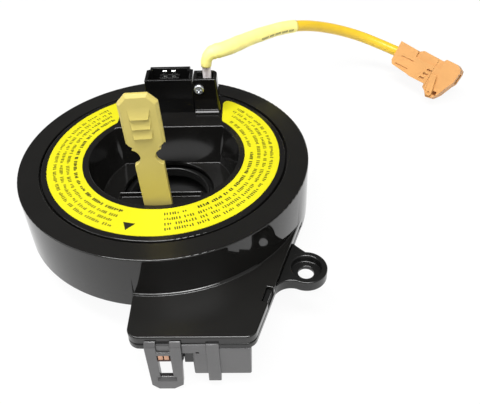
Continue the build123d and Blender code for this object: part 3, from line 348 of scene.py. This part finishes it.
def sleeve_size(run):
    """Half width and half height of the sleeve at a distance from its start, in millimetres."""
    after = next(index for index, (place, _, _) in enumerate(SLEEVE_SHAPE) if place > run)
    (start, wide, high), (stop, next_wide, next_high) = SLEEVE_SHAPE[after - 1], SLEEVE_SHAPE[after]
    share = (run - start) / (stop - start)
    creased = max(0.0, 1 - abs(run - CREASE_PLACE) / CREASE_REACH)
    grow = CREASE_DEPTH * sin(run * CREASE_TURN) * creased
    grow += sum(depth * sin(run * turn) for depth, turn in WAVES)
    return wide + share * (next_wide - wide) + grow, high + share * (next_high - high) + abs(grow) / 2


def make_sleeve():
    """A tube with a wall, open at both ends."""
    count = next(index for index, run in enumerate(lead_run) if run > SLEEVE_END)
    line, runs = lead_line[:count], lead_run[:count]
    bm = bmesh.new()
    tube_along(bm, line, SLEEVE_SIDE, [sleeve_size(run) for run in runs])
    bmesh.ops.recalc_face_normals(bm, faces=bm.faces)
    bmesh.ops.solidify(bm, geom=bm.faces[:] + bm.edges[:] + bm.verts[:], thickness=SLEEVE_WALL * MM)
    bmesh.ops.recalc_face_normals(bm, faces=bm.faces)
    return new_piece("sleeve", bm, "rotor", sleeve_finish)


sleeve = make_sleeve()
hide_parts("lead_sleeve")
lead_finish = plastic("lead_sheath", (0.74, 0.49, 0.026), (0.25, 0.4), 900, 0.03, 0.04)
lead.data.materials.append(lead_finish)

# %% Print small marks on the sleeve
SLEEVE_MARKS = (32.5, 54.0)
MARK_SIZE = (0.35, 0.95, 0.12)
MARK_PITCH = 0.75
MARK_FACING = Vector((0.66, -0.70, -0.22))
MARK_GAPS = (6, 11, 17, 23)
mark_ink = plastic("mark_ink", (0.16, 0.13, 0.05), (0.4, 0.5), 900, 0.002, 0.05)


def make_sleeve_marks():
    """A row of small plain bars along the sleeve's front side, with gaps between its groups."""
    bm = bmesh.new()
    start, end = SLEEVE_MARKS
    count = int((end - start) / MARK_PITCH)
    rings = ring_places(lead_line, SLEEVE_SIDE)
    for number in range(count):
        if number in MARK_GAPS:
            continue
        run = start + number * MARK_PITCH
        index = next(spot for spot, value in enumerate(lead_run) if value > run)
        share = (run - lead_run[index - 1]) / (lead_run[index] - lead_run[index - 1])
        centre = lead_line[index - 1].lerp(lead_line[index], share)
        side, up, ahead = rings[index].to_3x3().transposed()
        facing = (MARK_FACING - ahead * MARK_FACING.dot(ahead)).normalized()
        wide, high = sleeve_size(run)
        radius = 1 / hypot(facing.dot(side) / wide, facing.dot(up) / high)
        turn = Matrix((ahead, facing.cross(ahead), facing)).transposed().to_4x4()
        place = Matrix.Translation(centre + facing * radius * MM) @ turn
        size = Matrix.Diagonal((*(Vector(MARK_SIZE) * MM), 1))
        bmesh.ops.create_cube(bm, size=1, matrix=place @ size)
    bmesh.ops.recalc_face_normals(bm, faces=bm.faces)
    return new_piece("sleeve_marks", bm, "rotor", mark_ink, smooth=False)


sleeve_marks = make_sleeve_marks()

# %% [markdown]
# ## Finishes of the moulded pieces
# The black plastics differ in gloss: the housing and the rotor are polished, the cover and the tower are
# satin, and the harness sockets are dull. Yellow and orange warn a mechanic about the airbag circuit.

# %% Choose a finish for each CAD piece
DULL_BLACK_IOR = 1.68
gloss_black = plastic("polished_black", (0.0060, 0.0057, 0.0051), (0.05, 0.10), 500, 0.003, 0.1,
                      gloss=0.6, top=0.30)
rotor_black = plastic("rotor_black", (0.0075, 0.0072, 0.0068), (0.08, 0.15), 700, 0.004, 0.1, top=0.20)
satin_black = plastic("satin_black", (0.008, 0.008, 0.0078), (0.14, 0.22), 1500, 0.006, 0.1)
dull_black = plastic("dull_black", (0.030, 0.029, 0.030), (0.30, 0.42), 4000, 0.02, 0.08, gloss=1.0)
dull_black.node_tree.nodes["Principled BSDF"].inputs["IOR"].default_value = DULL_BLACK_IOR
tower_black = plastic("tower_black", (0.005, 0.005, 0.005), (0.14, 0.24), 1200, 0.006, 0.1, gloss=0.35)
label_yellow = plastic("label_sheet", (0.60, 0.56, 0.010), (0.35, 0.45), 500, 0.004, 0.02, gloss=0.3)
tab_yellow = plastic("tab_yellow", (0.52, 0.43, 0.115), (0.38, 0.52), 1500, 0.012, 0.03, gloss=0.4)
plug_orange = plastic("plug_orange", (0.565, 0.28, 0.088), (0.4, 0.55), 1500, 0.012, 0.05, gloss=0.35)
wire_white = plastic("wire_white", (0.86, 0.80, 0.80), (0.3, 0.42), 900, 0.01, 0.03)
clip_white = plastic("natural_white", (0.75, 0.73, 0.68), (0.35, 0.5), 1500, 0.01, 0.03)
cable_film = plastic("cable_film", (0.55, 0.5, 0.38), (0.2, 0.3), 900, 0.004, 0.04)
copper = metal("bare_copper", (0.62, 0.36, 0.24), (0.25, 0.4))
brown_resin = plastic("brown_resin", (0.055, 0.018, 0.010), (0.4, 0.5))
tin = metal("tinned_steel", (0.80, 0.83, 0.80), (0.2, 0.34))
screw_steel = metal("plated_steel", (0.84, 0.87, 0.92), (0.24, 0.36))

FINISHES = {
    gloss_black: ["upper_housing", "lead_cap"],
    rotor_black: ["rotor"],
    satin_black: ["lower_cover", "strip_carrier"],
    dull_black: ["harness_block", "loop_socket"],
    tower_black: ["switch_socket"],
    label_yellow: ["label"],
    tab_yellow: ["lock_tab"],
    plug_orange: ["plug_body", "plug_cover", "plug_latch"],
    wire_white: ["lead_wires"],
    clip_white: ["outer_ribbon_clip", "inner_ribbon_clip", "lower_film", "upper_film"],
    cable_film: ["flat_cable"],
    copper: ["harness_block_pins", "loop_socket_pins", "stator_strips", "rotor_strips"],
    tin: ["switch_pins", "lead_terminals", "plug_terminals"],
    screw_steel: ["cap_screw"],
}
for finish, names in FINISHES.items():
    for name in names:
        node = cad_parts[name]
        node.data.materials.clear()
        node.data.materials.append(finish)

# %% [markdown]
# ## Soft edges
# A mould leaves no razor edge: each edge is slightly round and catches a thin line of light. CAD meshes
# are loose triangles, so a small node group first joins them and shades them by angle. A Decimate
# modifier turns flat areas into single faces, and a Bevel modifier then rounds only the edges that
# turn sharply. Where CAD already rounds an edge in coarse steps, the angle is wide, so that the steps
# blend. Last, a Weighted Normal modifier lets the large faces stay flat while the small ones beside them
# shade as rounds. Modifiers leave the CAD mesh itself untouched.

# %% A node group that joins and shades loose triangles
JOIN_DISTANCE = 0.002


def clean_shading(name, smooth_turn):
    """Merge by distance, drop the stored normals and shade smooth below an angle in degrees."""
    group = bpy.data.node_groups.new(name, "GeometryNodeTree")
    group.interface.new_socket("Geometry", in_out="INPUT", socket_type="NodeSocketGeometry")
    group.interface.new_socket("Geometry", in_out="OUTPUT", socket_type="NodeSocketGeometry")
    add, link = group.nodes.new, group.links.new
    merge = add("GeometryNodeMergeByDistance")
    merge.inputs["Distance"].default_value = JOIN_DISTANCE * MM
    drop = add("GeometryNodeRemoveAttribute")
    drop.inputs["Name"].default_value = "custom_normal"
    all_smooth = add("GeometryNodeSetShadeSmooth")
    soft_edges = add("GeometryNodeSetShadeSmooth")
    soft_edges.domain = "EDGE"
    turn = add("GeometryNodeInputMeshEdgeAngle")
    compare = add("FunctionNodeCompare")
    compare.data_type, compare.operation = "FLOAT", "LESS_THAN"
    compare.inputs[1].default_value = radians(smooth_turn)
    link(add("NodeGroupInput").outputs[0], merge.inputs["Geometry"])
    link(merge.outputs["Geometry"], drop.inputs["Geometry"])
    link(drop.outputs["Geometry"], all_smooth.inputs["Geometry"])
    link(all_smooth.outputs["Geometry"], soft_edges.inputs["Geometry"])
    link(turn.outputs["Unsigned Angle"], compare.inputs[0])
    link(compare.outputs["Result"], soft_edges.inputs["Shade Smooth"])
    link(soft_edges.outputs["Geometry"], add("NodeGroupOutput").inputs[0])
    return group


# %% Round the moulded edges
EDGE_WIDTHS = {
    "upper_housing": 0.25, "lower_cover": 0.30, "rotor": 0.25, "switch_socket": 0.18, "lead_cap": 0.18,
    "harness_block": 0.15, "loop_socket": 0.18, "lock_tab": 0.12, "plug_body": 0.25, "plug_cover": 0.15,
    "plug_latch": 0.2, "cap_screw": 0.08,
}
SMOOTH_TURNS = {"upper_housing": 68, "rotor": 68, "harness_block": 68, "plug_latch": 68, "lock_tab": 20}
OTHER_TURN = 34
FLAT_TURN = radians(0.5)
SHARP_MARGIN = 4
TURNS = sorted({OTHER_TURN, *SMOOTH_TURNS.values()})
shadings = {turn: clean_shading(f"shading {turn}", turn) for turn in TURNS}


def soften(node, width, turn):
    """Join the loose triangles and round the edges that clearly turn more than the angle."""
    node.modifiers.new("clean shading", "NODES").node_group = shadings[turn]
    flat = node.modifiers.new("flat faces", "DECIMATE")
    flat.decimate_type = "DISSOLVE"
    flat.angle_limit = FLAT_TURN
    bevel = node.modifiers.new("soft edges", "BEVEL")
    bevel.width = width * MM
    bevel.segments = 2
    bevel.limit_method = "ANGLE"
    bevel.angle_limit = radians(turn + SHARP_MARGIN)
    bevel.use_clamp_overlap = node.name.startswith("plug")
    weighted = node.modifiers.new("flat normals", "WEIGHTED_NORMAL")
    weighted.mode = "FACE_AREA_WITH_ANGLE"
    weighted.keep_sharp = True


for name, width in EDGE_WIDTHS.items():
    soften(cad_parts[name], width, SMOOTH_TURNS.get(name, OTHER_TURN))

# %% [markdown]
# ## Print on the label
# The sheet carries four rows of small print round the ring. Readable words have no place on a generic
# part, so each word becomes a group of plain upright ticks. Each tick is a small cube, made long and
# thin and turned to its place on the ring. A solid triangle marks the centre position.

# %% Print the rows of ticks
LABEL_TOP = 22.5
INK_THICKNESS = 0.03
TICK_PITCH = 0.82
TICK_WIDTH = 0.42
TICK_HEIGHTS = (0.8, 1.25, 1.25)
TICK_SHIFTS = (-0.15, 0, 0.15)
TICK_SPREAD = (0.85, 1.3)
BOLD_TICK_WIDTH = TICK_WIDTH * 1.35
WORD_LENGTHS = (2, 3, 4, 5, 6, 7, 8, 9)
WORD_GAP = 1.05
FINE_SEED, BOLD_SEED = 5, 3
fine_ink = plastic("fine_ink", (0.045, 0.040, 0.003), (0.4, 0.5), 900, 0.002, 0.05)
bold_ink = plastic("bold_ink", (0.010, 0.009, 0.003), (0.4, 0.5), 900, 0.002, 0.05)
FINE_ROWS = [(33.0, -83.5, -70), (32.4, 8, 41), (35.6, -83.5, 46), (38.0, -83.5, 48), (40.4, -83.5, 49),
             (35.6, 133, 250.5), (38.0, 131, 250.5), (40.4, 131, 250.5)]
BOLD_ROWS = [(32.9, -63, 4), (32.9, 134, 250.5)]


def print_tick(bm, radius, angle, width, height):
    """One upright tick of ink."""
    size = Matrix.Diagonal((height * MM, width * MM, INK_THICKNESS * MM, 1))
    place = Matrix.Translation(mm(radius, 0, LABEL_TOP + INK_THICKNESS / 2))
    bmesh.ops.create_cube(bm, size=1, matrix=Matrix.Rotation(radians(angle), 4, "Z") @ place @ size)


def print_row(bm, radius, start, end, width, chance):
    """Words of ticks from one angle to another."""
    angle = start
    while angle < end:
        for _ in range(chance.choice(WORD_LENGTHS)):
            if angle < end:
                height = chance.choice(TICK_HEIGHTS)
                shift = chance.choice(TICK_SHIFTS) if height == min(TICK_HEIGHTS) else 0
                print_tick(bm, radius + shift, angle, width, height)
                angle += degrees(TICK_PITCH * chance.uniform(*TICK_SPREAD) / radius)
        angle += degrees(WORD_GAP / radius)


def make_print(name, rows, width, material, seed):
    """All rows of one ink."""
    chance = random.Random(seed)
    bm = bmesh.new()
    for radius, start, end in rows:
        print_row(bm, radius, start, end, width, chance)
    new_piece(name, bm, "rotor", material, smooth=False)


make_print("fine_print", FINE_ROWS, TICK_WIDTH, fine_ink, FINE_SEED)
make_print("bold_print", BOLD_ROWS, BOLD_TICK_WIDTH, bold_ink, BOLD_SEED)

# %% Print the centre mark
TRIANGLE_CORNERS = [(-9.8, -36.4), (-5.6, -37.3), (-8.6, -40.3)]


def make_mark():
    """A flat triangle with the thickness of the ink."""
    bm = bmesh.new()
    face = bm.faces.new([bm.verts.new(mm(x, y, LABEL_TOP)) for x, y in TRIANGLE_CORNERS])
    made = bmesh.ops.extrude_face_region(bm, geom=[face])["geom"]
    lifted = [item for item in made if isinstance(item, bmesh.types.BMVert)]
    bmesh.ops.translate(bm, verts=lifted, vec=mm(0, 0, INK_THICKNESS))
    bmesh.ops.recalc_face_normals(bm, faces=bm.faces)
    new_piece("centre_mark", bm, "rotor", bold_ink, smooth=False)


make_mark()

# %% [markdown]
# ## Inside the latch loop
# The top of the loop carries a small plastic bridge. Two copper leaves stand in the window under it,
# where the mating plug touches them, and a brown stop holds their lower ends. All are boxes whose edges
# are rounded by a bevel.

# %% Make the bridge, the leaves and the stop
BRIDGE_LOW, BRIDGE_HIGH = (2.75, -72.3, 0.35), (7.0, -71.35, 3.3)
BRIDGE_ROUND = 0.15
LEAF_LOW, LEAF_HIGH = (-0.75, -72.7, -3.5), (0.75, -72.3, -0.6)
LEAF_CENTRES = (3.75, 5.65)
LEAF_ROUND = 0.08
STOP_LOW, STOP_HIGH = (2.4, -72.6, -4.6), (7.1, -71.9, -3.7)
STOP_ROUND = 0.08
ROUND_SEGMENTS = 2


def make_boxes(name, corner_pairs, material, edge_round):
    """One piece on the housing: a box with round edges for each pair of corners, in millimetres."""
    bm = bmesh.new()
    for corners in corner_pairs:
        low, high = [mm(*corner) for corner in corners]
        place = Matrix.Translation((low + high) / 2) @ Matrix.Diagonal((*(high - low), 1))
        bmesh.ops.create_cube(bm, size=1, matrix=place)
    bmesh.ops.bevel(bm, geom=bm.edges[:], offset=edge_round * MM, segments=ROUND_SEGMENTS, affect="EDGES")
    new_piece(name, bm, "housing", material, smooth=False)


leaf_corners = [[(x + centre, y, z) for x, y, z in (LEAF_LOW, LEAF_HIGH)] for centre in LEAF_CENTRES]
make_boxes("loop_bridge", [(BRIDGE_LOW, BRIDGE_HIGH)], dull_black, BRIDGE_ROUND)
make_boxes("loop_leaves", leaf_corners, copper, LEAF_ROUND)
make_boxes("loop_stop", [(STOP_LOW, STOP_HIGH)], brown_resin, STOP_ROUND)

# %% [markdown]
# ## The floor
# The part doesn't stand level: its loop socket reaches below the drum, so it leans back until the rear
# of the drum touches the table. The floor is tilted under it instead, which keeps the frame upright.
# For the camera and for reflections the floor is nearly plain white, and the rest takes the shadow. The
# ground under the drum gets no light, so a round patch of painted shade there keeps the column hole black.

# %% Lay the floor
FLOOR_TOUCH_Y = 54.0
FLOOR_RISE = 0.1589
FLOOR_ROLL = 0.0075
FLOOR_SIZE = 6.0               # metres
# Painted shade: a nearly black round patch is coloured into the floor under the column hole.
PAINTED_SHADE_R = 25.0
PAINTED_SHADE_EDGE = 6.0
PAINTED_SHADE_Y = 8.0
PAINTED_SHADE_COLOUR = (0.004, 0.004, 0.004)
PAPER_COLOUR = (0.8, 0.8, 0.8)
PAPER_ROUGH = 0.9
PLAIN_SHARE = 0.93


def make_floor():
    """A large plane through the line where the drum touches."""
    tilt = Matrix.Rotation(atan(FLOOR_RISE), 4, "X") @ Matrix.Rotation(atan(FLOOR_ROLL), 4, "Y")
    place = Matrix.Translation(mm(0, FLOOR_TOUCH_Y, 0)) @ tilt
    bm = bmesh.new()
    bmesh.ops.create_grid(bm, x_segments=2, y_segments=2, size=FLOOR_SIZE / 2, matrix=place)
    mesh = bpy.data.meshes.new("floor")
    bm.to_mesh(mesh)
    bm.free()
    floor = bpy.data.objects.new("floor", mesh)
    bpy.context.collection.objects.link(floor)
    return floor


def painted_shade_edge(tree):
    """0 on the painted shade under the column hole, 1 on the open floor."""
    place = tree.nodes.new("ShaderNodeTexCoord")
    flatten = tree.nodes.new("ShaderNodeVectorMath")
    flatten.operation = "MULTIPLY_ADD"
    flatten.inputs[1].default_value = (1, 1, 0)
    flatten.inputs[2].default_value = (0, -PAINTED_SHADE_Y * MM, 0)
    distance = tree.nodes.new("ShaderNodeVectorMath")
    distance.operation = "LENGTH"
    tree.links.new(place.outputs["Object"], flatten.inputs[0])
    tree.links.new(flatten.outputs["Vector"], distance.inputs[0])
    node = tree.nodes.new("ShaderNodeMapRange")
    node.inputs["From Min"].default_value = PAINTED_SHADE_R * MM
    node.inputs["From Max"].default_value = (PAINTED_SHADE_R + PAINTED_SHADE_EDGE) * MM
    tree.links.new(distance.outputs["Value"], node.inputs["Value"])
    return node.outputs["Result"]


def floor_finish():
    """Mostly plain white to the camera and in reflections, with a share of real paint for shadows."""
    material, tree, shader = material_nodes("white_table")
    open_floor = painted_shade_edge(tree)
    shader.inputs["Roughness"].default_value = PAPER_ROUGH
    # Painted shade: the base colour turns nearly black under the column hole.
    tree.links.new(two_tone(tree, open_floor, PAINTED_SHADE_COLOUR, PAPER_COLOUR), shader.inputs["Base Color"])
    plain = tree.nodes.new("ShaderNodeEmission")
    rays = tree.nodes.new("ShaderNodeLightPath").outputs
    seen = math_node(tree, "MAXIMUM", rays["Is Camera Ray"], rays["Is Glossy Ray"])
    seen = math_node(tree, "MAXIMUM", seen, rays["Is Transmission Ray"])
    share = math_node(tree, "MULTIPLY", math_node(tree, "MULTIPLY", seen, open_floor), PLAIN_SHARE)
    mix = tree.nodes.new("ShaderNodeMixShader")
    tree.links.new(share, mix.inputs[0])
    tree.links.new(shader.outputs[0], mix.inputs[1])
    tree.links.new(plain.outputs[0], mix.inputs[2])
    tree.links.new(mix.outputs[0], tree.nodes["Material Output"].inputs["Surface"])
    return material


floor = make_floor()
floor.data.materials.append(floor_finish())

# %% [markdown]
# ## Light
# Black gloss shows the room more than its own colour. A dim world stands for the room, brighter on the
# camera's side. One wide soft lamp above gives the thin bright lines along the edges, and two weaker
# ones, to the left and in front, keep the yellow pieces evenly lit.

# %% Light the studio
ROOM_DARK, ROOM_BRIGHT = (0.10, 0.10, 0.10), (0.45, 0.45, 0.45)
DARK_FROM, BRIGHT_FROM = 0.25, -0.45
# Each lamp: its place and its size in metres, and its power in watts.
LAMPS = {
    "overhead": ((-0.06, -0.16, 0.74), (0.60, 0.20), 7.0),
    "left": ((-0.70, -0.25, 0.45), (0.5, 0.5), 1.5),
    "front": ((0.15, -0.50, 0.80), (0.5, 0.25), 3.0),
}
LIT_PLACE = mm(5, 5, 20)

world = bpy.data.worlds.new("room")
world.use_nodes = True
sky = world.node_tree
facing = sky.nodes.new("ShaderNodeTexCoord")
across = sky.nodes.new("ShaderNodeSeparateXYZ")
sky.links.new(facing.outputs["Generated"], across.inputs[0])
back_to_front = sky.nodes.new("ShaderNodeMapRange")
back_to_front.interpolation_type = "SMOOTHSTEP"
back_to_front.inputs["From Min"].default_value = DARK_FROM
back_to_front.inputs["From Max"].default_value = BRIGHT_FROM
sky.links.new(across.outputs["Y"], back_to_front.inputs["Value"])
room_colour = two_tone(sky, back_to_front.outputs["Result"], ROOM_DARK, ROOM_BRIGHT)
sky.links.new(room_colour, sky.nodes["Background"].inputs["Color"])
bpy.context.scene.world = world


def hang_lamp(name, place, size, power):
    """A rectangular soft lamp that faces the part."""
    data = bpy.data.lights.new(name, "AREA")
    data.shape = "RECTANGLE"
    data.size, data.size_y = size
    data.energy = power
    lamp = bpy.data.objects.new(name, data)
    lamp.location = place
    lamp.rotation_euler = (LIT_PLACE - Vector(place)).to_track_quat("-Z", "Y").to_euler()
    bpy.context.collection.objects.link(lamp)


for lamp_name, (place, size, power) in LAMPS.items():
    hang_lamp(lamp_name, place, size, power)
bpy.context.scene.view_settings.view_transform = "Standard"
